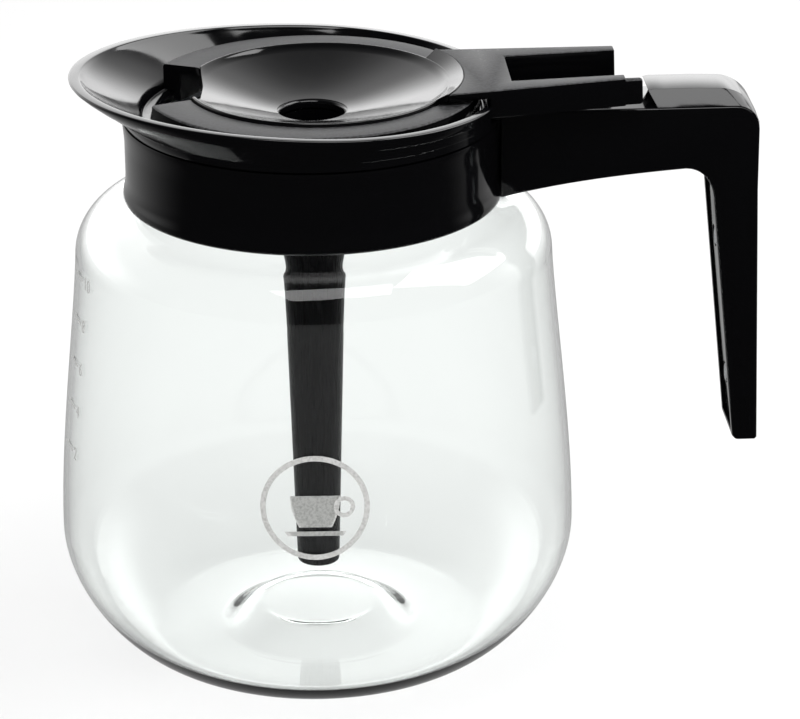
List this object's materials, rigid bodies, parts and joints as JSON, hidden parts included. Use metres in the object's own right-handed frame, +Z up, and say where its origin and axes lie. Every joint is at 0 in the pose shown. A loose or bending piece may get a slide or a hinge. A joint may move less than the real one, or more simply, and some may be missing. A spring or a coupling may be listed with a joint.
{
  "type": "glass coffee jug",
  "caption": "Round clear glass coffee jug with a black collar, flared pouring rim, angled handle and a lift-off lid whose funnel feeds a long mixing tube.",
  "frame": {"origin": "centre of the footprint of the whole object, on the surface that the jug stands on", "axes": "+X towards the handle, -X towards the spout, +Z up; the jug's own axis is 25 mm from the origin towards -X"},
  "size_m": [0.19, 0.14, 0.1615],
  "materials": {
    "borosilicate_glass": "clear, polished",
    "seal_rubber": "matte",
    "spring_steel": "satin",
    "screw_steel": "bright",
    "black_gloss": "polished moulding",
    "black_matte": "fine spark-eroded texture",
    "black_satin": "satin moulding"
  },
  "bodies": {
    "jug": {"glass_vessel": "borosilicate_glass", "neck_sleeve": "seal_rubber", "rim_seal": "seal_rubber", "split_ring": "spring_steel", "neck_band": "black_gloss", "pour_rim": "black_gloss", "handle_shell": "black_gloss", "handle_liner": "black_gloss", "handle_cap": "black_gloss", "root_screw": "screw_steel", "grip_screw_upper": "screw_steel", "grip_screw_lower": "screw_steel"},
    "lid": {"lid_ring": "black_matte", "lid_funnel": "black_gloss", "lid_tongue": "black_matte", "mixing_tube": "black_satin"}
  },
  "joints": [
    {"name": "lid_lift", "type": "slide", "parent": "jug", "child": "lid", "axis": [0, 0, 1], "range_m": [0, 0.15]}
  ]
}
